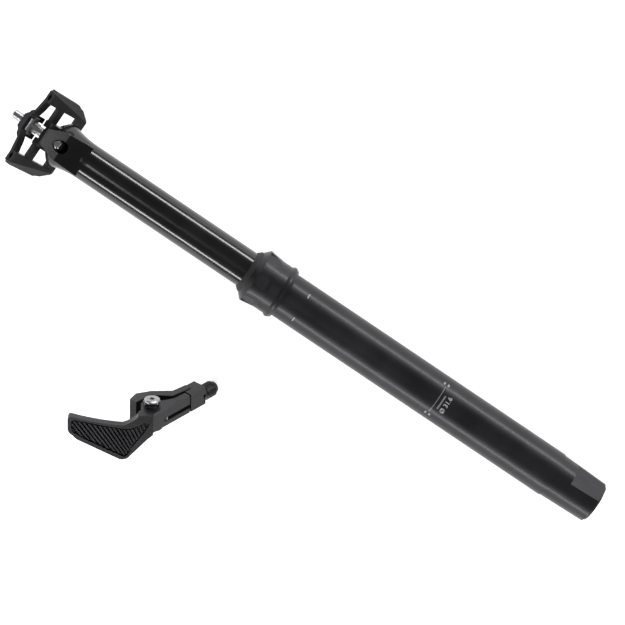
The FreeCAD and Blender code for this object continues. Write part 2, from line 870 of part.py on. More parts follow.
def cartridge_rod(doc, s):
    radius = s.rod_diameter / 2
    bore = s.rod_bore / 2
    foot = s.rod_foot_x
    neck = s.rod_neck_diameter / 2
    return turned(doc, "cartridge_rod", [
        (foot, bore), (foot, radius - 0.5), (foot + 0.5, radius),
        (s.piston_x, radius), (s.piston_x, neck),
        (s.piston_x + s.piston_length, neck), (s.piston_x + s.piston_length, 0),
        (s.piston_x - 3, 0), (s.piston_x - 3, bore),
    ])


def rod_nut(doc, s):
    foot = s.rod_nut_x
    bore = s.rod_diameter / 2 + s.running_clearance
    nut = slab(doc, "rod_nut_hexagon", "YZ", hexagon(s.rod_nut_flats), foot, foot + s.rod_nut_height)
    hole = rod(doc, "rod_nut_hole", "x", bore, foot - 1, foot + s.rod_nut_height + 1)
    return finish(cut(doc, "rod_nut", nut, [hole]), "rod_nut")


def cartridge_piston(doc, s):
    outer = s.cylinder_bore / 2 - s.running_clearance
    neck = s.rod_neck_diameter / 2 + s.running_clearance
    return grooved_piston(doc, s, "cartridge_piston", s.piston_x, s.piston_length, neck, outer)


def grooved_piston(doc, s, label, foot, length, inner, outer):
    middle = foot + length / 2
    groove = outer - 1.2
    return turned(doc, label, [
        (foot, inner), (foot, outer - 0.6), (foot + 0.6, outer),
        (middle - 1.2, outer), (middle - 1.2, groove),
        (middle + 1.2, groove), (middle + 1.2, outer),
        (foot + length - 0.6, outer), (foot + length, outer - 0.6), (foot + length, inner),
    ])


def float_piston(doc, s):
    outer = s.cylinder_bore / 2 - s.running_clearance
    return grooved_piston(doc, s, "float_piston", s.float_piston_x, s.float_piston_length, 0, outer)


def cartridge_cylinder(doc, s):
    outer = s.cylinder_diameter / 2
    bore = s.cylinder_bore / 2
    foot = s.cylinder_foot_x
    top = s.cylinder_top_x
    return turned(doc, "cartridge_cylinder", [
        (foot, bore), (foot, outer - 0.5), (foot + 0.5, outer),
        (top - 2, outer), (top, outer - 2), (top, 0),
        (top - s.cylinder_cap, 0), (top - s.cylinder_cap, bore),
    ])


def cartridge_gland(doc, s):
    inner = s.rod_diameter / 2 + s.running_clearance
    outer = s.cylinder_bore / 2 - s.running_clearance
    foot = s.cylinder_foot_x + 0.4
    top = foot + s.gland_length
    return turned(doc, "cartridge_gland", [
        (foot, inner), (foot, outer), (foot + 3, outer), (foot + 3, outer - 1),
        (foot + 5, outer - 1), (foot + 5, outer), (top, outer), (top, inner),
    ])


def retaining_ring(doc, s):
    foot = s.post_foot_x + s.ring_groove + 0.1
    outer = s.post_radius - s.post_wall + 0.5
    inner = s.cylinder_bore / 2 + 0.8
    top = foot + s.ring_groove - 0.2
    ring = turned(doc, "retaining_ring_blank", [
        (foot, inner), (foot, outer), (top, outer), (top, inner)])
    gap = box(doc, "retaining_ring_gap", (foot - 1, top + 1), (-3, 3), (0, outer + 1))
    return finish(cut(doc, "retaining_ring", ring, [gap]), "retaining_ring")


def release_pin(doc, s):
    radius = s.valve_pin_diameter / 2
    foot = s.rocker_pivot_x + rocker_nose_height(s) + s.cradle_clearance
    top = s.piston_x - 6
    return turned(doc, "release_pin", [
        (foot, 0), (foot, radius - 0.5), (foot + 0.5, radius), (top, radius), (top, 0)])


# Base cap, drawn with its cable slot towards +Z and then turned to its clock angle

def base_frame(s, x=0, y=0, z=0):
    """A frame turned with the base. Its place is given in the base's own directions."""
    across = cosine(s.base_clock_angle)
    rise = sine(s.base_clock_angle)
    y = as_measure(y)
    z = as_measure(z)
    return Frame(x=x, y=y * across - z * rise, z=y * rise + z * across,
                 axis=(1, 0, 0), angle=s.base_clock_angle)


def rocker_nose_height(s):
    return s.rocker_arm_thickness * 0.9


def base_housing(doc, s):
    top = -s.tube_length
    foot = top - s.base_length
    spigot = s.tube_bore / 2 - s.running_clearance
    rim = top + s.base_spigot_length
    groove = top + 2.2
    floor = spigot - s.oring_section
    hole = s.rod_diameter / 2 + s.running_clearance
    body = turned(doc, "base_blank", [
        (foot, 0), (foot, s.base_foot_radius - s.base_rounding),
        (foot + s.base_rounding, s.base_foot_radius, s.base_rounding),
        (top, s.base_top_radius), (top, spigot),
        (groove, spigot), (groove, floor),
        (groove + 1.4 * s.oring_section, floor), (groove + 1.4 * s.oring_section, spigot),
        (rim, spigot), (rim, hole), (s.rod_foot_x - 1, hole), (s.rod_foot_x - 1, 0),
    ])
    half = s.base_slot_width / 2
    pivot = s.rocker_pivot_x
    flat = s.base_flat_distance
    edge = foot + s.base_flat_length
    cuts = [
        box(doc, "rocker_room", (foot + s.base_floor, s.rod_foot_x), (-half, half),
            (-s.base_slot_back, 20)),
        box(doc, "left_flat", (foot - 1, edge), (flat, 20), (-20, 20)),
        box(doc, "right_flat", (foot - 1, edge), (-20, -flat), (-20, 20)),
        rod(doc, "pin_bore", "y", s.rocker_pin_diameter / 2 + 0.02, -flat - 1,
            s.rocker_pin_length - flat, x=pivot, z=s.rocker_pivot_offset),
        rod(doc, "stop_bore", "x", s.cable_stop_diameter / 2 + s.running_clearance,
            foot - 1, foot + s.base_floor + 1, z=s.cable_offset),
    ]
    return finish(cut(doc, "base_housing", body, cuts), "base_housing", base_frame(s))


def base_oring(doc, s):
    floor = s.tube_bore / 2 - s.running_clearance - s.oring_section
    x = -s.tube_length + 2.2 + 0.7 * s.oring_section
    return oring(doc, s, "base_oring", x, floor)


def rocker_pin(doc, s):
    flat = s.base_flat_distance - 0.2
    pin = rod(doc, "rocker_pin_bar", "y", s.rocker_pin_diameter / 2, -flat,
              s.rocker_pin_length - flat - 0.3, x=s.rocker_pivot_x, z=s.rocker_pivot_offset)
    return finish(compound(doc, "rocker_pin", [pin]), "rocker_pin", base_frame(s))


def cable_rocker(doc, s):
    x = s.rocker_pivot_x
    half = s.rocker_thickness / 2
    arm = s.rocker_arm_thickness / 2
    nose = rocker_nose_height(s)
    z = s.rocker_pivot_offset
    eye = s.cable_offset
    solid = fused(doc, "rocker_blank", [
        slab(doc, "rocker_arm", "XZ", [
            (x - arm, -2), (x + nose, -2), (x + nose, 1.6), (x + arm, z + 1, -6),
            (x + arm, eye), (x - arm, eye)], -half, half),
        rod(doc, "rocker_hub", "y", s.rocker_hub_radius, -half, half, x=x, z=z),
        rod(doc, "rocker_eye", "y", s.cable_anchor_diameter / 2 + 1.1, -half, half, x=x, z=eye),
    ])
    cuts = [
        rod(doc, "rocker_bore", "y", s.rocker_pin_diameter / 2 + s.running_clearance,
            -half - 1, half + 1, x=x, z=z),
        rod(doc, "anchor_bore", "y", s.cable_anchor_diameter / 2 + s.running_clearance,
            -half - 1, half + 1, x=x, z=eye),
        box(doc, "cable_way", (x - 6, x), (-s.cable_hole / 2, s.cable_hole / 2), (eye - 1, eye + 1)),
    ]
    return finish(cut(doc, "cable_rocker", solid, cuts), "cable_rocker", base_frame(s))


def cable_anchor(doc, s):
    x = s.rocker_pivot_x
    half = s.cable_anchor_length / 2
    barrel = rod(doc, "anchor_bar", "y", s.cable_anchor_diameter / 2, -half, half,
                 x=x, z=s.cable_offset)
    hole = rod(doc, "anchor_hole", "x", s.cable_hole / 2, x - 5, x + 5, z=s.cable_offset)
    return finish(cut(doc, "cable_anchor", barrel, [hole]), "cable_anchor", base_frame(s))


def cable_stop(doc, s):
    foot = -s.tube_length - s.base_length
    top = foot + s.base_floor
    outer = s.cable_stop_diameter / 2
    bore = s.cable_stop_bore / 2
    hole = s.cable_hole / 2
    depth = foot + s.cable_stop_depth
    return turned(doc, "cable_stop", [
        (foot + 0.1, bore + 0.4), (foot + 0.1, outer), (top, outer), (top, hole),
        (depth, hole), (depth, bore), (foot + 0.5, bore),
    ], base_frame(s, z=s.cable_offset))


def coil(doc, label, radius, wire, turns):
    """A close-wound coil along +Z, its first turn starting on +X."""
    pitch = 2.2 * wire
    helix = doc.addObject("Part::Helix", label + "_line")
    helix.setExpression("Radius", radius.text)
    helix.setExpression("Pitch", pitch.text)
    helix.setExpression("Height", (turns * pitch).text)
    section = doc.addObject("Part::Circle", label + "_wire")
    section.setExpression("Radius", wire.text)
    section.Placement = FreeCAD.Placement(FreeCAD.Vector(), PLANES["XZ"][1])
    section.setExpression("Placement.Base.x", radius.text)
    solid = doc.addObject("Part::Sweep", label)
    doc.recompute()
    solid.Sections = [section]
    solid.Spine = (helix, [])
    solid.Solid = True
    solid.Frenet = True
    return solid


def rocker_spring(doc, s):
    """A torsion spring round the rocker's pin, with one leg along the cap's wall."""
    wire = s.spring_wire / 2
    radius = s.rocker_hub_radius
    side = s.rocker_thickness / 2 + s.cradle_clearance + 2 * wire
    x = s.rocker_pivot_x
    wound = coil(doc, "spring_coil", radius, wire, 2.5)
    Frame(x=x, y=side, z=s.rocker_pivot_offset, axis=(1, 0, 0), angle=-90).apply(wound)
    low = rod(doc, "spring_leg", "z", wire * 0.98, s.rocker_pivot_offset - s.spring_leg,
              s.rocker_pivot_offset + 0.1, x=x + radius, y=side)
    return finish(fused(doc, "rocker_spring", [wound, low]), "rocker_spring", base_frame(s))


# Saddle clamp, drawn about its pivot with +X up through the rails and +Z along them

def clamp_frame(s):
    return Frame(x=s.pivot_x, angle=s.tilt_angle)


def jaw_outline(s, side, inner):
    """One jaw seen from above: (across, along)."""
    half = s.jaw_length / 2
    return [
        (side * inner, -half), (side * inner, half),
        (side * (s.jaw_outer - 1.6), half), (side * s.jaw_outer, half - 1.6, 1.6 * side),
        (side * (s.jaw_outer - 0.6), -s.jaw_tail_start),
        (side * (s.jaw_outer - 2.4), -s.jaw_tail_start - 5, 14 * side),
        (side * s.jaw_tail_outer, -half + 0.6), (side * (s.jaw_tail_outer - 1), -half, 1.2 * side),
    ]


def jaw_bevel(doc, s, side):
    """The long bevel under a jaw's outer edge, deeper towards the tail."""
    half = s.jaw_length / 2 + 0.5
    low = s.jaw_bottom - 0.2
    sections = []
    for name, along, start, rise in (("tail", -half, s.jaw_tail_outer - 1.6, 3.0),
                                     ("nose", half, s.jaw_outer - 2.2, 1.4)):
        sketch = doc.addObject("Sketcher::SketchObject", "bevel_%s" % name)
        outer = s.jaw_outer + 0.6
        draw(sketch, [(low, side * start), (low, side * outer), (s.jaw_bottom + rise, side * outer)])
        Frame(z=along).apply(sketch)
        sections.append(sketch)
    return loft(doc, "jaw_bevel", sections)


def bolt_window(doc, s, name, half_width):
    """The slot that the tilt bolt swings in, through the cradle and the yoke."""
    return slab(doc, name, "XZ", [
        (-13, -2.4), (-13, 15), (s.yoke_crown + 3, s.tilt_nut_out + 5.1),
        (s.yoke_crown + 3, s.tilt_nut_out - 4),
    ], -half_width, half_width)


def lower_cradle(doc, s):
    half = s.jaw_length / 2
    solids = []
    cuts = [bolt_window(doc, s, "cradle_window", s.nut_sleeve_diameter / 2 + 0.35)]
    groove_up = s.jaw_top + s.rail_diameter / 2 - s.rail_groove_depth
    for side in (1, -1):
        jaw = slab(doc, "lower_jaw", "YZ", jaw_outline(s, side, s.jaw_inner),
                   s.jaw_bottom, s.jaw_top)
        groove = rod(doc, "lower_groove", "z", s.rail_diameter / 2, -half - 1, half + 1,
                     x=groove_up, y=side * s.rail_pitch / 2)
        solids.append(cut(doc, "shaped_jaw", jaw, [groove, jaw_bevel(doc, s, side)]))
    wide = s.jaw_inner + 0.5
    solids.append(box(doc, "front_arms", (s.jaw_bottom, s.jaw_top), (-wide, wide),
                      (s.arm_back, s.arm_front)))
    tall = s.jaw_inner - s.cradle_clearance
    solids.append(box(doc, "arm_rib", (s.jaw_bottom, s.arm_top), (-tall, tall),
                      (s.arm_back, s.arm_front)))
    solids.append(box(doc, "rear_arm", (s.jaw_bottom, s.jaw_top), (-wide, wide),
                      (-half, -s.rear_bar_inner)))
    saddle = s.cradle_half_width
    solids.append(shared(doc, "cradle_saddle", [
        rod(doc, "cradle_round", "y", s.cradle_radius, -saddle, saddle),
        box(doc, "cradle_space", (-s.cradle_radius - 1, s.arm_top + 1), (-20, 20),
            (-s.cradle_radius - 1, s.arm_front)),
    ]))
    cuts.append(rod(doc, "screw_thread", "x", s.screw_diameter / 2 + s.running_clearance,
                    s.jaw_bottom - 1, 0, z=-rear_screw_back(s)))
    cuts.append(washer_path(doc, s))
    blank = fused(doc, "cradle_blank", solids)
    return finish(cut(doc, "lower_cradle", blank, cuts), "lower_cradle", clamp_frame(s))


def washer_path(doc, s):
    """The room that the ball washer sweeps through the cradle as the clamp tilts."""
    drop = s.tilt_seat_drop
    reach = root(drop * drop + s.tilt_seat_z * s.tilt_seat_z)
    room = s.ball_washer_radius + 2 * s.cradle_clearance
    sweep = doc.addObject("Part::Torus", "washer_sweep")
    sweep.setExpression("Radius1", reach.text)
    sweep.setExpression("Radius2", room.text)
    Frame(axis=(1, 0, 0), angle=90).apply(sweep)
    return shared(doc, "washer_path", [
        sweep, box(doc, "washer_span", (-20, 0), (-8, 8), (-4.2, 20))])


def rear_screw_back(s):
    return s.jaw_length / 4 + s.rear_bar_inner / 2


def clamp_yoke(doc, s):
    half = s.jaw_length / 2
    under = s.jaw_top + s.jaw_gap
    groove_up = under + s.yoke_groove_depth - s.rail_diameter / 2
    solids = []
    for side in (1, -1):
        wing = slab(doc, "yoke_wing", "YZ", jaw_outline(s, side, s.jaw_inner), under, s.wing_top)
        groove = rod(doc, "yoke_groove", "z", s.rail_diameter / 2, -half - 1, half + 1,
                     x=groove_up, y=side * s.rail_pitch / 2)
        solids.append(cut(doc, "shaped_wing", wing, [groove]))
    wide = s.jaw_inner + 0.5
    solids.append(box(doc, "rear_bar", (under, s.wing_top + 1), (-wide, wide),
                      (-half, -s.rear_bar_inner)))
    solids.append(slab(doc, "front_bar", "XY", [
        (under, -wide), (s.yoke_arch - 4.2, -15), (s.yoke_arch, -5, -24),
        (s.yoke_arch, 5), (s.yoke_arch - 4.2, 15, -24), (under, wide),
        (s.wing_top, wide + 1), (s.wing_top + 1.8, 10.6), (s.yoke_crown - 3.2, 8.6),
        (s.yoke_crown, 4.6, 5), (s.yoke_crown, -4.6),
        (s.yoke_crown - 3.2, -8.6, 5), (s.wing_top + 1.8, -10.6), (s.wing_top, -wide - 1),
    ], s.front_bar_inner, half))
    boss = s.yoke_boss_half_width
    solids.append(slab(doc, "nut_boss", "XY", [
        (s.yoke_boss_floor, -boss), (s.yoke_boss_floor, boss), (s.yoke_crown - 3.2, boss),
        (s.yoke_crown, 4.6, 5), (s.yoke_crown, -4.6), (s.yoke_crown - 3.2, -boss, 5),
    ], s.yoke_boss_back, s.front_bar_inner + 1))
    seat = s.nut_diameter / 2 + s.assembly_clearance
    nut_end = s.nut_length / 2 + s.cradle_clearance
    nut_up = s.tilt_nut_up
    nut_out = s.tilt_nut_out
    cuts = [
        bolt_window(doc, s, "yoke_window", s.nut_sleeve_diameter / 2 + 0.35),
        rod(doc, "nut_seat", "y", seat, -nut_end, nut_end, x=nut_up, z=nut_out),
        box(doc, "nut_mouth", (nut_up, nut_up + 9), (-nut_end, nut_end),
            (nut_out - seat, nut_out + seat)),
        rod(doc, "screw_hole", "x", s.screw_diameter / 2 + 0.15, under - 1, s.yoke_crown,
            z=-rear_screw_back(s)),
    ]
    blank = fused(doc, "yoke_blank", solids)
    return finish(cut(doc, "clamp_yoke", blank, cuts), "clamp_yoke", clamp_frame(s))


def rear_screw(doc, s):
    """The short screw that draws the yoke's rear bar down on the cradle."""
    back = -rear_screw_back(s)
    under = s.wing_top + 1 + 0.05
    top = under + s.screw_head_height
    shank = rod(doc, "screw_shank", "x", s.screw_diameter / 2, s.jaw_bottom + 0.4, under + 0.2, z=back)
    head = turned(doc, "screw_head", [
        (under, 0), (under, s.screw_head_diameter / 2), (top - 1.2, s.screw_head_diameter / 2),
        (top, s.screw_head_diameter / 2 - 1.6, 2.2), (top, 0)], Frame(z=back))
    socket = slab(doc, "screw_socket", "YZ", hexagon(s.screw_socket_flats), top - 1.8, top + 1)
    Frame(x=top - 1.8, z=back).apply(socket)
    blank = fused(doc, "rear_screw_blank", [shank, head])
    return finish(cut(doc, "rear_screw", blank, [socket]), "rear_screw", clamp_frame(s))


# Tilt bolt, drawn along +X from the centre of its ball washer

def bolt_frame(s):
    seat_x, seat_z = tilt_seat(s)
    return Frame(x=seat_x, z=seat_z, angle=bolt_lean(s))


def tilt_bolt(doc, s):
    shank = s.bolt_diameter / 2
    head = s.bolt_head_diameter / 2
    under = -0.6
    foot = under - s.bolt_head_height
    body = turned(doc, "tilt_bolt_blank", [
        (foot, 0), (foot, head - 1.3), (foot + 1.3, head, 1.3), (under - 0.5, head),
        (under, head - 0.5), (under, shank), (s.bolt_length - 0.8, shank),
        (s.bolt_length, shank - 0.8), (s.bolt_length, 0)])
    socket = slab(doc, "bolt_socket", "YZ", hexagon(s.bolt_socket_flats),
                  foot - 1, foot + s.bolt_socket_depth)
    return finish(cut(doc, "tilt_bolt", body, [socket]), "tilt_bolt", bolt_frame(s))


def ball_washer(doc, s):
    ball_radius = s.ball_washer_radius
    bore = s.bolt_diameter / 2 + s.assembly_clearance
    foot = 0.5
    rim = root(ball_radius * ball_radius - foot * foot)
    top = root(ball_radius * ball_radius - (bore + 0.4) * (bore + 0.4))
    return turned(doc, "ball_washer", [
        (-foot, bore), (-foot, rim), (foot, rim), (top, bore + 0.4, ball_radius), (top, bore)],
        bolt_frame(s))


def tilt_nut(doc, s):
    """A cross nut with a short tapered sleeve down the bolt."""
    half = s.nut_length / 2
    up = s.tilt_nut_up
    out = s.tilt_nut_out
    barrel = rod(doc, "nut_barrel", "y", s.nut_diameter / 2, -half, half)
    sleeve = turned(doc, "nut_sleeve", [
        (-s.nut_sleeve_length - 1.6, 0), (-s.nut_sleeve_length - 1.6, s.nut_sleeve_diameter / 2 - 0.5),
        (0, s.nut_sleeve_diameter / 2), (0, 0)])
    blank = fused(doc, "nut_blank", [barrel, sleeve])
    hole = rod(doc, "nut_thread", "x", s.bolt_diameter / 2 + s.nut_thread_clearance, -20, 20)
    x, z = in_clamp(s, up, out)
    return finish(cut(doc, "tilt_nut", blank, [hole]), "tilt_nut", Frame(x=x, z=z, angle=bolt_lean(s)))


# Remote thumb lever, drawn about its pivot: +X along the handlebar, +Y up the pivot's axis and
# +Z towards the thumb. Its arm and bracket run at the arm's own angle to +X.

def remote_piece(doc, s, label, solid):
    """Lean the remote back, turn it to its place beside the post and name it."""
    leant = compound(doc, label + "_leant", [solid])
    Frame(axis=(1, 0, 0), angle=s.remote_lean).apply(leant)
    placed = compound(doc, label, [leant])
    Frame(x=s.remote_x, y=s.remote_y, z=s.remote_z, axis=(0, 0, 1),
          angle=s.remote_turn).apply(placed)
    return finish(placed, label)


def along_arm(s, along, out):
    """A point of the remote given along its arm and out from the pivot's line."""
    along = as_measure(along)
    out = as_measure(out)
    x = along * cosine(s.arm_angle) + out * sine(s.arm_angle)
    z = out * cosine(s.arm_angle) - along * sine(s.arm_angle)
    return x, z


def plan(doc, s, name, points, low, high):
    """A slab seen down the pivot's axis. Points are (x, z), or ("arm", along, out)."""
    outline = []
    for point in points:
        if point[0] == "arm":
            outline.append(along_arm(s, point[1], point[2]))
        else:
            outline.append(point)
    return slab(doc, name, "XZ", outline, low, high)


def arm_rod(doc, s, name, radius, low, high, out, height):
    """A round bar along the arm's direction."""
    bar = compound(doc, name, [rod(doc, name + "_bar", "x", radius, low, high, y=height, z=out)])
    Frame(angle=s.arm_angle).apply(bar)
    return bar


def thumb_lever(doc, s):
    low = s.arm_low
    high = s.arm_high
    front = s.paddle_front
    back = front - s.paddle_thickness
    face = s.arm_front_out
    arm = plan(doc, s, "lever_arm", [
        (-9.0, back), (-9.0, front), (0.75, front),
        ("arm", s.arm_end, face), ("arm", s.arm_end, face - s.arm_wall),
        ("arm", 16.0, 4.6), ("arm", 8.0, 0.4), (0.0, 0.0), (-3.0, 0.0),
    ], low, high)
    hub = rod(doc, "lever_hub", "y", s.hub_radius, low, high)
    paddle = slab(doc, "paddle", "XY", paddle_outline(s), back, front)
    blank = fused(doc, "lever_blank", [arm, hub, paddle])
    floor = front - s.panel_depth
    panel = slab(doc, "panel", "XY", panel_outline(s), floor, front + 1)
    cuts = [
        panel,
        rod(doc, "lever_bore", "y", s.bush_radius + s.running_clearance, low - 1, high + 1),
        rod(doc, "washer_well", "y", s.well_radius, high - s.well_depth, high + 1),
        rod(doc, "spring_well", "y", s.spring_well_radius, low - 1, low + s.spring_well_depth),
        slotted(doc, s),
        top_bevel(doc, s, "arm_edge", -8.0, s.arm_end + 1),
    ]
    lever = cut_in_turn(doc, "lever_shaped", blank, cuts)
    ribs = shared(doc, "ribs", [
        compound(doc, "rib_bars", rib_bars(doc, s, floor)),
        slab(doc, "rib_space", "XY", rib_outline(s), floor - 0.2, front)])
    return remote_piece(doc, s, "thumb_lever", fused(doc, "lever_ribbed", [lever, ribs]))


def paddle_outline(s):
    tip = -s.paddle_reach
    return [
        (tip, 7.2), (tip, 1.0), (tip + 3.2, -4.4, 6), (tip + 6.4, -7.7, 14),
        (-21.9, -22.0), (-18.4, -22.5, 4.4), (-14.5, -20.2, 5.2), (-3.0, -7.5),
        (0.7, -4.2), (0.7, 10.4), (-8.6, 10.4), (-13.7, 5.6, -12), (-19.3, 3.0, -16),
        (tip + 3.0, 9.6, -160), (tip + 0.6, 8.9, 2),
    ]


def panel_outline(s):
    tip = -s.paddle_reach + s.rim_width
    return [
        (tip, 6.0), (tip, 1.2), (tip + 3.2, -3.4, 6), (-41.2, -8.6, 80),
        (-19.2, -20.4), (-16.4, -19.9, 2.2), (-12.9, -13.5, 20), (-5.8, -3.7), (-1.9, 3.2, 40),
        (-3.2, 6.0, 2.4), (-10.9, 1.7, -26), (-17.4, 0.5, -16), (-30.1, 2.7), (-41.2, 5.2),
        (tip + 1.4, 7.2),
    ]


def rib_outline(s):
    tip = -s.paddle_reach + s.rim_width + s.rib_gap
    return [
        (tip, 5.4), (tip, 1.4), (tip + 3.0, -2.6, 6), (-41.0, -7.6, 80),
        (-19.3, -19.3), (-17.2, -19.1, 1.6), (-13.9, -13.4, 20), (-6.8, -3.6), (-2.9, 2.9, 40),
        (-3.8, 4.6, 1.8), (-10.8, 0.7, -26), (-17.4, -0.5, -16), (-30.3, 1.7), (-41.2, 4.2),
        (tip + 1.2, 6.3),
    ]


def rib_bars(doc, s, floor):
    """Slanted grip ribs. They fan upright towards the lever's neck."""
    bars = []
    count = int(s.rib_count.value)
    for index in range(count):
        share = index / (count - 1)
        bar = box(doc, "rib_%d" % index, (-s.rib_width / 2, s.rib_width / 2), (-22, 18),
                  (floor - 0.2, floor + s.rib_height))
        swung = compound(doc, "rib_%d_swung" % index, [bar])
        Frame(x=s.rib_start + index * s.rib_pitch, y=-2.0, axis=(0, 0, 1),
              angle=s.rib_slant * (1 - 0.45 * share * share)).apply(swung)
        bars.append(swung)
    return bars


def slotted(doc, s):
    """The cable slot through the arm's front face, round at its blind end."""
    half = s.cable_slot_width / 2
    mid = s.cable_height
    depth = s.arm_front_out - s.cable_slot_depth
    far = s.arm_front_out + 1
    way = fused(doc, "slot_way", [
        box(doc, "slot_run", (s.cable_slot_start, s.arm_end + 1), (mid - half, mid + half),
            (depth, far)),
        rod(doc, "slot_round", "z", half, depth, far, x=s.cable_slot_start, y=mid),
        rod(doc, "clamp_bore", "y", s.cable_clamp_diameter / 2 + s.assembly_clearance,
            s.arm_low - 1, s.arm_high - 3, x=clamp_along(s), z=clamp_out(s)),
    ])
    Frame(angle=s.arm_angle).apply(way)
    return way


def clamp_along(s):
    return s.cable_slot_start + s.cable_clamp_diameter / 2


def clamp_out(s):
    return s.arm_front_out - s.cable_slot_depth + 1.2


def top_bevel(doc, s, name, low, high):
    """The flat that runs along the top front edge of the arm and of the bracket."""
    face = s.arm_front_out
    top = s.arm_high
    edge = slab(doc, name, "YZ", [
        (top - s.arm_bevel, face + 0.5), (top + 0.5, face - s.arm_bevel), (top + 0.5, face + 0.5),
    ], low, high)
    bevel = compound(doc, name + "_bevel", [edge])
    Frame(angle=s.arm_angle).apply(bevel)
    return bevel


def remote_bracket(doc, s):
    low = s.arm_low
    high = s.arm_high
    start = s.arm_end + s.block_gap
    end = start + s.block_length
    face = s.arm_front_out
    back = face - s.block_depth
    block = plan(doc, s, "bracket_block", [
        ("arm", start, face), ("arm", end, face), ("arm", end, back), ("arm", start, back),
    ], low, high)
    web = plan(doc, s, "bracket_web", [
        ("arm", start, face - 6.0), ("arm", start + 6, face - 6.0), ("arm", start + 6, back),
        ("arm", 22.0, back - 1.2), ("arm", 12.0, -12.0), ("arm", 3.0, -17.0),
        ("arm", -5.0, -15.0), ("arm", -5.0, -9.4), ("arm", 8.0, -9.0), ("arm", 13.0, -2.6),
        ("arm", 17.0, 2.4),
    ], low - s.plate_gap - s.plate_thickness, high + 0.6)
    plate = plan(doc, s, "bracket_plate", [
        ("arm", 8.0, -9.2), (s.hub_radius * 0.75, 3.4), (-s.hub_radius, 1.0), (-s.hub_radius, -4.0),
        ("arm", -5.0, -15.0), ("arm", 8.0, -14.0),
    ], low - s.plate_gap - s.plate_thickness, low - s.plate_gap)
    disc = rod(doc, "plate_disc", "y", s.hub_radius, low - s.plate_gap - s.plate_thickness,
               low - s.plate_gap)
    boss = rod(doc, "mount_boss", "z", s.boss_radius, -s.boss_reach, -9.0, x=-s.boss_offset,
               y=s.boss_height)
    solid = fused(doc, "bracket_blank", [block, web, plate, disc, boss])
    cuts = [
        rod(doc, "pivot_thread", "y", s.pivot_bolt_diameter / 2 + s.running_clearance,
            low - 10, low),
        rod(doc, "mount_thread", "z", s.mount_screw_diameter / 2, -s.boss_reach - 1,
            -s.boss_reach + s.mount_depth, x=-s.boss_offset, y=s.boss_height),
        arm_rod(doc, s, "barrel_thread", s.barrel_spigot / 2 + s.assembly_clearance,
                end - s.barrel_thread_length, end + 1, s.barrel_out, s.cable_height),
        arm_rod(doc, s, "cable_bore", s.cable_hole / 2, start - 1, end, s.barrel_out,
                s.cable_height),
    ]
    notch = fused(doc, "cable_notch", [
        rod(doc, "notch_hole", "z", 1.3, face - 2.4, face + 1, x=end - 0.9, y=s.cable_height + 1.6),
        box(doc, "notch_seam", (end - 1.15, end - 0.65), (low - 1, s.cable_height + 1.6),
            (face - 1.2, face + 1)),
    ])
    Frame(angle=s.arm_angle).apply(notch)
    cuts += [notch, top_bevel(doc, s, "block_edge", start - 1, end + 1)]
    return remote_piece(doc, s, "remote_bracket", cut_in_turn(doc, "bracket_shaped", solid, cuts))


def spun_up(doc, label, points):
    """A body turned about the pivot's axis from an (up, radius) outline."""
    return turned(doc, label, points, Frame(axis=(0, 0, 1), angle=90))


def pivot_bush(doc, s):
    low = s.arm_low - s.plate_gap + s.running_clearance
    top = s.arm_high + s.bush_rise
    bore = s.pivot_bolt_diameter / 2 + s.running_clearance
    body = spun_up(doc, "pivot_bush_turned", [
        (low, bore), (low, s.hub_radius - 0.6), (low + s.plate_gap - 0.1, s.hub_radius - 0.6),
        (low + s.plate_gap - 0.1, s.bush_radius), (top, s.bush_radius), (top, bore)])
    return remote_piece(doc, s, "pivot_bush", body)


def pivot_washer(doc, s):
    low = s.arm_high + s.bush_rise
    top = low + s.pivot_washer_height
    bore = s.pivot_bolt_diameter / 2 + s.running_clearance
    rim = s.pivot_washer_radius
    body = spun_up(doc, "pivot_washer_turned", [
        (low, bore), (low, rim - 0.5), (low + 0.5, rim), (top - 0.3, rim), (top, rim - 0.3),
        (top, bore)])
    return remote_piece(doc, s, "pivot_washer", body)


def pivot_bolt(doc, s):
    under = s.arm_high + s.bush_rise + s.pivot_washer_height
    top = under + s.pivot_head_height
    shank = s.pivot_bolt_diameter / 2
    rim = s.pivot_head_radius
    foot = s.arm_low - s.plate_gap - s.plate_thickness + 0.3
    body = spun_up(doc, "pivot_bolt_turned", [
        (foot, 0), (foot, shank), (under, shank), (under, rim), (top - 0.6, rim),
        (top, rim - 1.2), (top, 0)])
    socket = slab(doc, "pivot_socket", "XZ", hexagon(s.pivot_socket_flats), top - 1.2, top + 1)
    return remote_piece(doc, s, "pivot_bolt", cut(doc, "pivot_bolt_socketed", body, [socket]))


def lever_spring(doc, s):
    """The coil that brings the lever back, seated in the well under its hub."""
    wire = s.lever_spring_wire / 2
    radius = s.spring_well_radius - s.lever_spring_wire
    wound = coil(doc, "lever_coil", radius, wire, 3)
    Frame(y=s.arm_low + wire + s.running_clearance, axis=(1, 0, 0), angle=-90).apply(wound)
    return remote_piece(doc, s, "lever_spring", wound)


def cable_clamp(doc, s):
    """The cross pin in the lever's slot that holds the cable's end."""
    pin = rod(doc, "clamp_bar", "y", s.cable_clamp_diameter / 2, s.arm_low + 0.6,
              s.arm_high - 3.2)
    hole = rod(doc, "clamp_hole", "x", s.cable_hole / 2, -5, 5, y=s.cable_height)
    made = cut(doc, "clamp_pin", pin, [hole])
    seat = compound(doc, "clamp_seated", [made])
    x, z = along_arm(s, clamp_along(s), clamp_out(s))
    Frame(x=x, z=z, angle=s.arm_angle).apply(seat)
    return remote_piece(doc, s, "cable_clamp", seat)


def adjuster_frame(s):
    x, z = along_arm(s, s.arm_end + s.block_gap + s.block_length, s.barrel_out)
    return Frame(x=x, y=s.cable_height, z=z, angle=s.arm_angle)


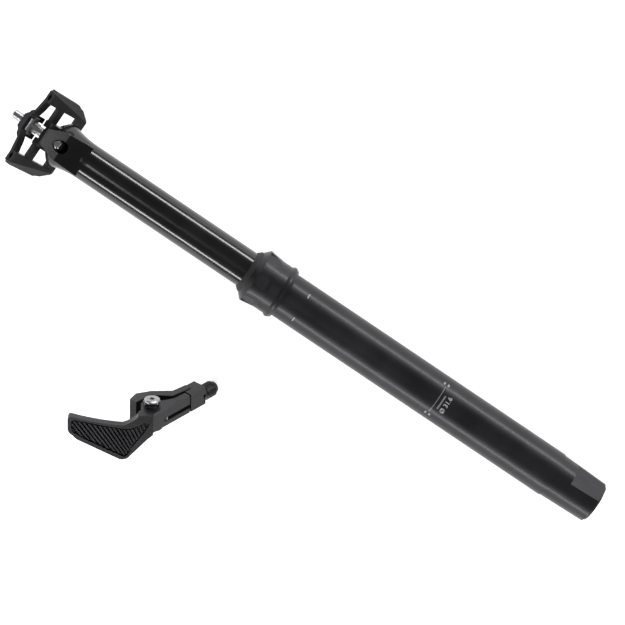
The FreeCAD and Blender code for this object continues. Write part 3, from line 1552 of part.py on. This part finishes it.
def adjuster_ring(doc, s):
    """The locking ring between the bracket and the barrel."""
    bore = s.barrel_spigot / 2 + s.running_clearance
    outer = s.barrel_radius - 0.3
    low = s.assembly_clearance
    top = low + s.lock_ring_length
    body = turned(doc, "adjuster_ring_turned", [
        (low, bore), (low, outer - 0.4), (low + 0.4, outer), (top - 0.4, outer),
        (top, outer - 0.4), (top, bore)], adjuster_frame(s))
    return remote_piece(doc, s, "adjuster_ring", body)


def barrel_adjuster(doc, s):
    """The knurled barrel that takes the end of the cable's housing."""
    low = s.lock_ring_length + 2 * s.assembly_clearance
    top = low + s.barrel_length
    spigot = s.barrel_spigot / 2
    body = turned(doc, "barrel_turned", [
        (-s.barrel_thread_length + 1, 0), (-s.barrel_thread_length + 1, spigot), (low, spigot),
        (low, s.barrel_radius - 0.8), (low + 0.8, s.barrel_radius),
        (top - 2.6, s.barrel_radius), (top - 2.6, s.barrel_radius - 0.9),
        (top, s.barrel_radius - 1.3), (top, 0)])
    flutes = []
    count = int(s.knurl_count.value)
    groove = box(doc, "knurl", (low + 1, top - 1.8), (-0.35, 0.35),
                 (s.barrel_radius - s.knurl_depth, s.barrel_radius + 1))
    for index in range(count):
        flute = compound(doc, "knurl_%d" % index, [groove])
        Frame(axis=(1, 0, 0), angle=360 * index / s.knurl_count).apply(flute)
        flutes.append(flute)
    holes = [
        rod(doc, "housing_socket", "x", s.housing_socket / 2, top - s.housing_depth, top + 1),
        rod(doc, "barrel_bore", "x", s.cable_hole / 2, -s.barrel_thread_length, top),
    ]
    shaped = cut(doc, "barrel_knurled", body, [compound(doc, "knurls", flutes)])
    made = compound(doc, "barrel_seated", [cut_in_turn(doc, "barrel_bored", shaped, holes)])
    adjuster_frame(s).apply(made)
    return remote_piece(doc, s, "barrel_adjuster", made)


def build(doc):
    s = fill_sheet(doc)
    return [
        outer_tube(doc, s), top_collar(doc, s), wiper_seal(doc, s), collar_oring(doc, s),
        upper_bushing(doc, s), inner_post(doc, s), lower_bushing(doc, s), guide_keys(doc, s),
        cartridge_rod(doc, s), rod_nut(doc, s), cartridge_piston(doc, s), float_piston(doc, s),
        cartridge_cylinder(doc, s), cartridge_gland(doc, s), retaining_ring(doc, s),
        release_pin(doc, s), base_housing(doc, s), base_oring(doc, s), rocker_pin(doc, s),
        cable_rocker(doc, s), cable_anchor(doc, s), cable_stop(doc, s), rocker_spring(doc, s),
        lower_cradle(doc, s), clamp_yoke(doc, s), rear_screw(doc, s), tilt_bolt(doc, s),
        ball_washer(doc, s), tilt_nut(doc, s), thumb_lever(doc, s), remote_bracket(doc, s),
        pivot_bush(doc, s), pivot_washer(doc, s), pivot_bolt(doc, s), lever_spring(doc, s),
        cable_clamp(doc, s), adjuster_ring(doc, s), barrel_adjuster(doc, s),
    ]


def check(doc, pieces):
    """Stop if anything in the document failed, before a file is written."""
    for item in doc.Objects:
        if "Invalid" in item.State or "Error" in item.State:
            raise RuntimeError("%s did not build: %s" % (item.Label, item.State))
    for piece in pieces:
        if piece.Shape.isNull() or not piece.Shape.isValid():
            raise RuntimeError("%s has no sound shape" % piece.Label)


def main():
    doc = FreeCAD.newDocument("dropper_seatpost")
    pieces = build(doc)
    doc.recompute()
    check(doc, pieces)
    os.makedirs("parts", exist_ok=True)
    for piece in pieces:
        piece.Shape.exportStep("parts/%s.step" % piece.Label)
        print(piece.Label, len(piece.Shape.Solids), round(piece.Shape.Volume, 1))


main()
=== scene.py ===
"""Finishes, printed marks, stage and camera for the dropper seatpost and its thumb lever.

Run as a script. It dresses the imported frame, which gives every size and place.
"""

import json
import math

import bmesh
import bpy
from bpy.props import FloatProperty, FloatVectorProperty, PointerProperty
from mathutils import Matrix, Vector


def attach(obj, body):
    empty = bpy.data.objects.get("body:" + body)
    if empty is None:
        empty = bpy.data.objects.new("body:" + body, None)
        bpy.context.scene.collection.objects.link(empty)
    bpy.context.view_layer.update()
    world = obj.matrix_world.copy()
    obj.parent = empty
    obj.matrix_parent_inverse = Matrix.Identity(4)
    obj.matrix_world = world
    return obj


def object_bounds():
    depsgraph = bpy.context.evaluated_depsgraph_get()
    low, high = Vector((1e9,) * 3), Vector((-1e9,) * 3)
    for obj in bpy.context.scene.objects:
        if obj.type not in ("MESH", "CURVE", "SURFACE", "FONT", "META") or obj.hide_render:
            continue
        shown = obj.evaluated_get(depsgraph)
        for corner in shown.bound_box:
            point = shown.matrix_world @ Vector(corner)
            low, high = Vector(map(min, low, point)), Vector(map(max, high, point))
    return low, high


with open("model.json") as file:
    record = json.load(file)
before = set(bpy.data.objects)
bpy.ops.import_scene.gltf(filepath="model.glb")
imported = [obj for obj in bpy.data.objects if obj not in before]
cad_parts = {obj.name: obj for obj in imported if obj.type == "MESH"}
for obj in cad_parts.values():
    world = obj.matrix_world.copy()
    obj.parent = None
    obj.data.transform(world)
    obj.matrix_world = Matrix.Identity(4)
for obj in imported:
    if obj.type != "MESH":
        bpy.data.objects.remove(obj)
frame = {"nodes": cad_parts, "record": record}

bl_info = {
    "name": "Dropper Seatpost",
    "version": (1, 0, 0),
    "blender": (4, 5, 0),
    "location": "View3D > Sidebar > Seatpost",
    "description": "Finishes and printed marks for a dropper seatpost with its thumb lever",
    "category": "Object",
}

MM = 0.001
CAD_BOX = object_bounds()

# Printed marks on the outer tube
TUBE_RADIUS = 15.8 * MM
MARK_THICKNESS = 0.12 * MM
MARK_SLICE = 0.9 * MM
LINE_PLACE = -120.5 * MM
NUMERAL_PLACE = -128.6 * MM
COLLAR_MARK_PLACE = -12.8 * MM
LINE_SIZE = (0.35 * MM, 20.5 * MM)
TICK_SIZE = (1.3 * MM, 1.9 * MM)
TICK_OUT = 12.6 * MM
TICK_APART = 1.5 * MM
SMALL_BARS = 9
SMALL_BAR_SIZE = (1.1 * MM, 0.8 * MM)
SMALL_BAR_STEP = 1.15 * MM
SMALL_BAR_DROP = -3.1 * MM
DASH_SIZE = (0.9 * MM, 3.6 * MM)
DASH_OUT = 9.6 * MM
NUMERAL_SIZE = 4.4 * MM

# The camera, in metres and degrees
CAMERA_DISTANCE = 2.8
VIEW_WIDTH = 0.408
CAMERA_TILT = 6.5
CAMERA_YAW = 5.0
CAMERA_ROLL = 146.1
VIEW_CENTRE = Vector((-22.2, -0.5, 0.0)) * MM

# The studio, in metres and watts
FLOOR_HALF = 3.0
FLOOR_GAP = 0.5 * MM
SIDE_LIGHT_PLACE = (0.0, 1.15, 0.42)
SIDE_LIGHT_SIZE = (1.8, 0.16)
SIDE_LIGHT_POWER = 16
TOP_LIGHT_PLACE = (0.25, 0.1, 1.6)
TOP_LIGHT_SIZE = (0.9, 0.12)
TOP_LIGHT_POWER = 2.5


class Line:
    """A shader value or socket that takes part in ordinary arithmetic."""

    def __init__(self, sheet, end):
        self.sheet = sheet
        self.end = end

    def math(self, operation, *others):
        return self.sheet.node("ShaderNodeMath", {"operation": operation},
                               dict(enumerate((self,) + others)))

    def __add__(self, other):
        return self.math("ADD", other)

    __radd__ = __add__

    def __sub__(self, other):
        return self.math("SUBTRACT", other)

    def __mul__(self, other):
        return self.math("MULTIPLY", other)


class Finish:
    """A material under construction, wired from named nodes."""

    def __init__(self, name):
        self.material = bpy.data.materials.new(name)
        self.material.use_nodes = True
        self.tree = self.material.node_tree
        self.shader = self.tree.nodes["Principled BSDF"]

    def node(self, kind, settings=None, feeds=None, output=0):
        made = self.tree.nodes.new(kind)
        for key, value in (settings or {}).items():
            setattr(made, key, value)
        for key, value in (feeds or {}).items():
            self.feed(made.inputs[key], value)
        return Line(self, made.outputs[output])

    def feed(self, socket, value):
        if isinstance(value, Line):
            self.tree.links.new(value.end, socket)
        else:
            socket.default_value = value

    def set(self, **sockets):
        for name, value in sockets.items():
            self.feed(self.shader.inputs[name.replace("_", " ")], value)

    def place(self, scale=(1, 1, 1)):
        """Object coordinates, in metres, scaled."""
        spot = self.node("ShaderNodeTexCoord", output="Object")
        return self.node("ShaderNodeMapping", None, {"Vector": spot, "Scale": scale})

    def noise(self, scale, detail=2.0, where=None):
        """Noise with this many cells to a metre."""
        feeds = {"Scale": scale, "Detail": detail, "Vector": where or self.place()}
        return self.node("ShaderNodeTexNoise", None, feeds)

    def mix(self, amount, first, second):
        return self.node("ShaderNodeMix", {"data_type": "RGBA"},
                         {0: amount, 6: first, 7: second}, output=2)

    def span(self, value, low, high, new_low, new_high):
        return self.node("ShaderNodeMapRange", None, {
            "Value": value, "From Min": low, "From Max": high,
            "To Min": new_low, "To Max": new_high})

    def bump(self, height, distance, strength=1.0):
        return self.node("ShaderNodeBump", None, {
            "Height": height, "Distance": distance, "Strength": strength})


def grey(value):
    return (value, value, value, 1.0)


def anodised(name, colour, rough, grain, coat):
    """Black anodised alloy: fine lengthwise grain, faint cloudiness and a hard sheen."""
    finish = Finish(name)
    lines = finish.noise(900.0, 3.0, finish.place(scale=(0.12, 1, 1)))
    cloud = finish.noise(45.0, 4.0)
    shade = finish.span(cloud, 0.3, 0.7, 0.0, 1.0)
    lighter = tuple(min(1.0, part * 1.5 + 0.004) for part in colour[:3]) + (1.0,)
    finish.set(
        Base_Color=finish.mix(shade, tuple(colour[:3]) + (1.0,), lighter),
        Metallic=0.45, Specular_IOR_Level=0.4,
        Roughness=rough + (lines - 0.5) * grain + (cloud - 0.5) * 0.08,
        Coat_Weight=coat, Coat_Roughness=0.12,
        Normal=finish.bump(lines, 0.00002, 0.25))
    return finish.material


def rubber(name):
    """Matt black rubber with a fine grain."""
    finish = Finish(name)
    grain = finish.noise(2600.0, 3.0)
    cloud = finish.noise(160.0, 3.0)
    finish.set(Base_Color=finish.mix(cloud, grey(0.012), grey(0.03)),
               Roughness=0.62 + (cloud - 0.5) * 0.2, Specular_IOR_Level=0.35,
               Normal=finish.bump(grain, 0.00004, 0.5))
    return finish.material


def polymer(name):
    """Grey bearing plastic."""
    finish = Finish(name)
    grain = finish.noise(1800.0, 3.0)
    finish.set(Base_Color=finish.mix(grain, grey(0.08), grey(0.14)),
               Roughness=0.45 + (grain - 0.5) * 0.1, Normal=finish.bump(grain, 0.00002, 0.4))
    return finish.material


def turned_metal(name, colour, rough, rings=2400.0):
    """Bright turned metal with fine tool marks and small stains."""
    finish = Finish(name)
    marks = finish.noise(rings, 2.0, finish.place(scale=(1, 0.2, 1)))
    stain = finish.noise(120.0, 4.0)
    dark = tuple(part * 0.72 for part in colour[:3]) + (1.0,)
    finish.set(Base_Color=finish.mix(finish.span(stain, 0.35, 0.7, 0, 1),
                                     tuple(colour[:3]) + (1.0,), dark),
               Metallic=1.0, Roughness=rough + (marks - 0.5) * 0.18 + (stain - 0.5) * 0.1,
               Normal=finish.bump(marks, 0.00003, 0.3))
    return finish.material


def ink(name, shade):
    """Printed ink, slightly worn."""
    finish = Finish(name)
    wear = finish.noise(3000.0, 4.0)
    finish.set(Base_Color=finish.mix(finish.span(wear, 0.45, 0.8, 0, 0.5), grey(shade), grey(0.3)),
               Roughness=0.5 + (wear - 0.5) * 0.2)
    return finish.material


def bent_on_tube(mesh, place):
    """Wrap a flat mesh round the outer tube's top, with its middle moved along the post."""
    for vert in mesh.verts:
        angle = vert.co.y / TUBE_RADIUS
        reach = TUBE_RADIUS + vert.co.z
        vert.co = (vert.co.x + place, reach * math.sin(angle), reach * math.cos(angle))


def printed_bar(mesh, along, across, length, width):
    """A printed bar: a thin block cut into slices, so that it bends with the tube."""
    slices = max(2, round(width / MARK_SLICE))
    flat = bmesh.ops.create_grid(mesh, x_segments=1, y_segments=slices, size=0.5)["verts"]
    bmesh.ops.scale(mesh, vec=(length, width, 1), verts=flat)
    bmesh.ops.translate(mesh, verts=flat, vec=(along, across, -MARK_THICKNESS / 2))
    faces = list({face for vert in flat for face in vert.link_faces})
    grown = bmesh.ops.extrude_face_region(mesh, geom=faces)["geom"]
    top = [item for item in grown if isinstance(item, bmesh.types.BMVert)]
    bmesh.ops.translate(mesh, verts=top, vec=(0, 0, MARK_THICKNESS))
    bmesh.ops.recalc_face_normals(mesh, faces=mesh.faces)


def insertion_marks(material):
    """The insertion line with a tick pair at each end and a row of small bars beside it."""
    mesh = bmesh.new()
    printed_bar(mesh, 0, 0, *LINE_SIZE)
    for side in (-1, 1):
        for along in (-TICK_APART, TICK_APART):
            printed_bar(mesh, along, side * TICK_OUT, *TICK_SIZE)
    for index in range(SMALL_BARS):
        across = (index - SMALL_BARS // 2) * SMALL_BAR_STEP
        printed_bar(mesh, SMALL_BAR_DROP, across, *SMALL_BAR_SIZE)
    bent_on_tube(mesh, LINE_PLACE)
    return piece("insertion_marks", mesh, "tube", material)


def collar_marks(material):
    """The two small dashes below the collar."""
    mesh = bmesh.new()
    for side in (-1, 1):
        printed_bar(mesh, 0, side * DASH_OUT, *DASH_SIZE)
    bent_on_tube(mesh, COLLAR_MARK_PLACE)
    return piece("collar_marks", mesh, "tube", material)


def size_numerals(material):
    """The tube's diameter as plain numerals, read across the tube."""
    curve = bpy.data.curves.new("numerals", "FONT")
    curve.body = "\u00d8 31.6"
    curve.size = NUMERAL_SIZE
    curve.extrude = MARK_THICKNESS / 2
    curve.resolution_u = 3
    curve.align_x = "CENTER"
    words = bpy.data.objects.new("numerals", curve)
    bpy.context.scene.collection.objects.link(words)
    bpy.context.view_layer.update()
    flat = bpy.data.meshes.new_from_object(words.evaluated_get(
        bpy.context.evaluated_depsgraph_get()))
    bpy.data.objects.remove(words)
    mesh = bmesh.new()
    mesh.from_mesh(flat)
    bmesh.ops.remove_doubles(mesh, verts=mesh.verts, dist=0.001 * MM)
    bmesh.ops.rotate(mesh, verts=mesh.verts, matrix=Matrix.Rotation(-math.pi / 2, 3, "Z"))
    bent_on_tube(mesh, NUMERAL_PLACE)
    return piece("size_numerals", mesh, "tube", material)


def paint(node, material):
    """Give one CAD node its material."""
    mesh = frame["nodes"][node].data
    mesh.materials.clear()
    mesh.materials.append(material)


def paint_slots(slots, material):
    """Give every node whose record names one of these slots the material."""
    for row in frame["record"]["subparts"]:
        if row["material_slot"] in slots:
            paint(row["node"], material)


def piece(name, mesh, body, material):
    """Turn a finished bmesh into a piece that rides on a body."""
    data = bpy.data.meshes.new(name)
    mesh.to_mesh(data)
    mesh.free()
    made = bpy.data.objects.new(name, data)
    bpy.context.scene.collection.objects.link(made)
    data.materials.append(material)
    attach(made, body)
    return made


class SeatpostFinishes(bpy.types.PropertyGroup):
    tube_colour: FloatVectorProperty(
        name="Tube colour", description="Colour of the outer tube, collar, head and clamp",
        subtype="COLOR", default=(0.016, 0.016, 0.018), min=0, max=1)
    post_colour: FloatVectorProperty(
        name="Stanchion colour", description="Colour of the sliding post",
        subtype="COLOR", default=(0.010, 0.010, 0.011), min=0, max=1)
    bright_colour: FloatVectorProperty(
        name="Bright metal", description="Colour of the bolts, nuts and pins",
        subtype="COLOR", default=(0.46, 0.46, 0.47), min=0, max=1)
    satin: FloatProperty(
        name="Satin roughness", description="Roughness of the satin parts",
        subtype="FACTOR", default=0.38, min=0, max=1)
    gloss: FloatProperty(
        name="Gloss roughness", description="Roughness of the stanchion",
        subtype="FACTOR", default=0.2, min=0, max=1)


class SEATPOST_OT_black_parts(bpy.types.Operator):
    """Anodised finishes of the tube, collar, base cap, post and clamp"""
    bl_idname = "seatpost.black_parts"
    bl_label = "Black parts"

    def execute(self, context):
        choice = context.scene.seatpost
        satin = anodised("satin_black", choice.tube_colour, choice.satin, 0.10, 0.05)
        gloss = anodised("gloss_black", choice.post_colour, choice.gloss, 0.06, 0.5)
        paint_slots(["satin_black"], satin)
        paint_slots(["gloss_black"], gloss)
        return {"FINISHED"}


class SEATPOST_OT_small_parts(bpy.types.Operator):
    """Finishes of the seals, bushings, keys, cartridge and fasteners"""
    bl_idname = "seatpost.small_parts"
    bl_label = "Small parts"

    def execute(self, context):
        choice = context.scene.seatpost
        paint_slots(["black_rubber"], rubber("seal_rubber"))
        paint_slots(["grey_polymer"], polymer("bushing_polymer"))
        paint_slots(["brass"], turned_metal("key_brass", (0.62, 0.45, 0.18), 0.3))
        paint_slots(["plain_alloy"], turned_metal("plain_alloy", (0.6, 0.61, 0.63), 0.35))
        paint_slots(["bright_steel"], turned_metal("bright_steel", choice.bright_colour, 0.38))
        return {"FINISHED"}


class SEATPOST_OT_marks(bpy.types.Operator):
    """Printed insertion line, ticks and plain numerals on the outer tube"""
    bl_idname = "seatpost.marks"
    bl_label = "Printed marks"

    def execute(self, context):
        faint = ink("mark_ink", 0.34)
        insertion_marks(faint)
        collar_marks(faint)
        size_numerals(ink("numeral_ink", 0.7))
        return {"FINISHED"}


class SEATPOST_OT_stage(bpy.types.Operator):
    """White studio floor, soft lights and the camera"""
    bl_idname = "seatpost.stage"
    bl_label = "Stage"

    def execute(self, context):
        white_floor(context.scene)
        lights()
        aim_camera(context.scene)
        return {"FINISHED"}


def white_floor(scene):
    """A pale floor that glows a little, so that it stays white, under a dim sky."""
    low = CAD_BOX[0]
    mesh = bmesh.new()
    bmesh.ops.create_grid(mesh, x_segments=1, y_segments=1, size=FLOOR_HALF)
    bmesh.ops.translate(mesh, verts=mesh.verts, vec=(0, 0, low.z - FLOOR_GAP))
    data = bpy.data.meshes.new("floor")
    mesh.to_mesh(data)
    mesh.free()
    floor = bpy.data.objects.new("floor", data)
    scene.collection.objects.link(floor)
    white = Finish("studio_white")
    white.set(Base_Color=grey(0.9), Roughness=0.9, Specular_IOR_Level=0.1,
              Emission_Color=grey(1.0), Emission_Strength=0.75)
    data.materials.append(white.material)
    scene.world = bpy.data.worlds.new("studio")
    scene.world.use_nodes = True
    glow = scene.world.node_tree.nodes["Background"]
    glow.inputs["Color"].default_value = grey(1.0)
    glow.inputs["Strength"].default_value = 0.12
    scene.view_settings.view_transform = "Standard"


def soft_light(name, place, size, power):
    """A rectangular lamp that points at the post's middle."""
    data = bpy.data.lights.new(name, "AREA")
    data.shape = "RECTANGLE"
    data.size, data.size_y = size
    data.energy = power
    light = bpy.data.objects.new(name, data)
    bpy.context.scene.collection.objects.link(light)
    light.location = place
    aim = -Vector(place)
    light.rotation_euler = aim.to_track_quat("-Z", "Y").to_euler()


def lights():
    """Two low strips beside the post give its long highlights, and one above fills."""
    along, out, up = SIDE_LIGHT_PLACE
    for name, side in (("left_box", 1), ("right_box", -1)):
        soft_light(name, (along, side * out, up), SIDE_LIGHT_SIZE, SIDE_LIGHT_POWER)
    soft_light("top_box", TOP_LIGHT_PLACE, TOP_LIGHT_SIZE, TOP_LIGHT_POWER)


def aim_camera(scene):
    """The photograph's view: the post runs from lower right to upper left."""
    data = bpy.data.cameras.new("camera")
    camera = bpy.data.objects.new("camera", data)
    scene.collection.objects.link(camera)
    scene.camera = camera
    data.sensor_width = 36.0
    data.lens = data.sensor_width * CAMERA_DISTANCE / VIEW_WIDTH
    data.clip_start, data.clip_end = 0.1, 50.0
    back = Vector((math.sin(math.radians(CAMERA_TILT)), -math.sin(math.radians(CAMERA_YAW)), 0.0))
    back.z = math.sqrt(1 - back.length_squared)
    along = Vector((1, 0, 0)) - back * back.x
    along.normalize()
    across = back.cross(along)
    roll = math.radians(CAMERA_ROLL)
    right = math.cos(roll) * along - math.sin(roll) * across
    up = math.sin(roll) * along + math.cos(roll) * across
    spot = VIEW_CENTRE + back * CAMERA_DISTANCE
    camera.matrix_world = Matrix((
        (right.x, up.x, back.x, spot.x), (right.y, up.y, back.y, spot.y),
        (right.z, up.z, back.z, spot.z), (0, 0, 0, 1)))


class SEATPOST_PT_panel(bpy.types.Panel):
    """Builds the looks of the seatpost"""
    bl_idname = "SEATPOST_PT_panel"
    bl_label = "Dropper Seatpost"
    bl_space_type = "VIEW_3D"
    bl_region_type = "UI"
    bl_category = "Seatpost"

    def draw(self, context):
        choice = context.scene.seatpost
        for name in ("tube_colour", "post_colour", "bright_colour", "satin", "gloss"):
            self.layout.prop(choice, name)
        for operator in OPERATORS:
            self.layout.operator(operator.bl_idname)


OPERATORS = (SEATPOST_OT_black_parts, SEATPOST_OT_small_parts, SEATPOST_OT_marks,
             SEATPOST_OT_stage)
CLASSES = (SeatpostFinishes,) + OPERATORS + (SEATPOST_PT_panel,)


def register():
    for each in CLASSES:
        bpy.utils.register_class(each)
    bpy.types.Scene.seatpost = PointerProperty(type=SeatpostFinishes)


def unregister():
    del bpy.types.Scene.seatpost
    for each in reversed(CLASSES):
        bpy.utils.unregister_class(each)


def main():
    register()
    bpy.ops.seatpost.black_parts()
    bpy.ops.seatpost.small_parts()
    bpy.ops.seatpost.marks()
    bpy.ops.seatpost.stage()


if __name__ == "__main__":
    main()
